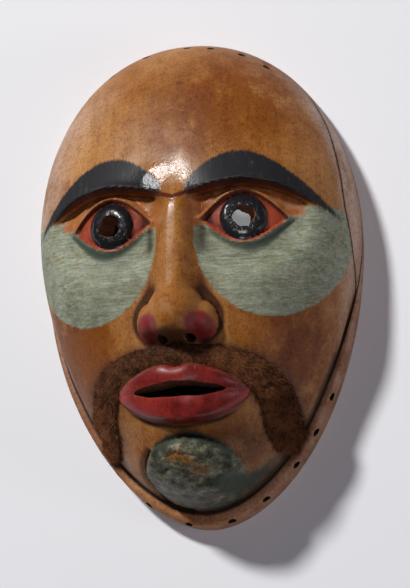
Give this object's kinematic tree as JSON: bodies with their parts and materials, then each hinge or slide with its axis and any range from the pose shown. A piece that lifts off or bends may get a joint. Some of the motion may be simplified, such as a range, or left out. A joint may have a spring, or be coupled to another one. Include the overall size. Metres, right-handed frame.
{
  "type": "carved wooden face mask",
  "caption": "Carved and painted wooden face mask, hollow behind, with pierced eyes and mouth and a moustache of furred hide.",
  "frame": {"origin": "middle of the back rim's flat underside, below the centre of the mask's box", "axes": "+X to the right across the face as a viewer sees it, +Y up the face from chin to forehead, +Z out of the face; the mask lies on its back rim"},
  "size_m": [0.16, 0.24, 0.0896],
  "materials": {
    "painted_wood": "worn paint and satin varnish",
    "furred_hide": "short matted fur"
  },
  "bodies": {
    "root": {"mask_shell": "painted_wood", "moustache": "furred_hide"}
  },
  "joints": []
}
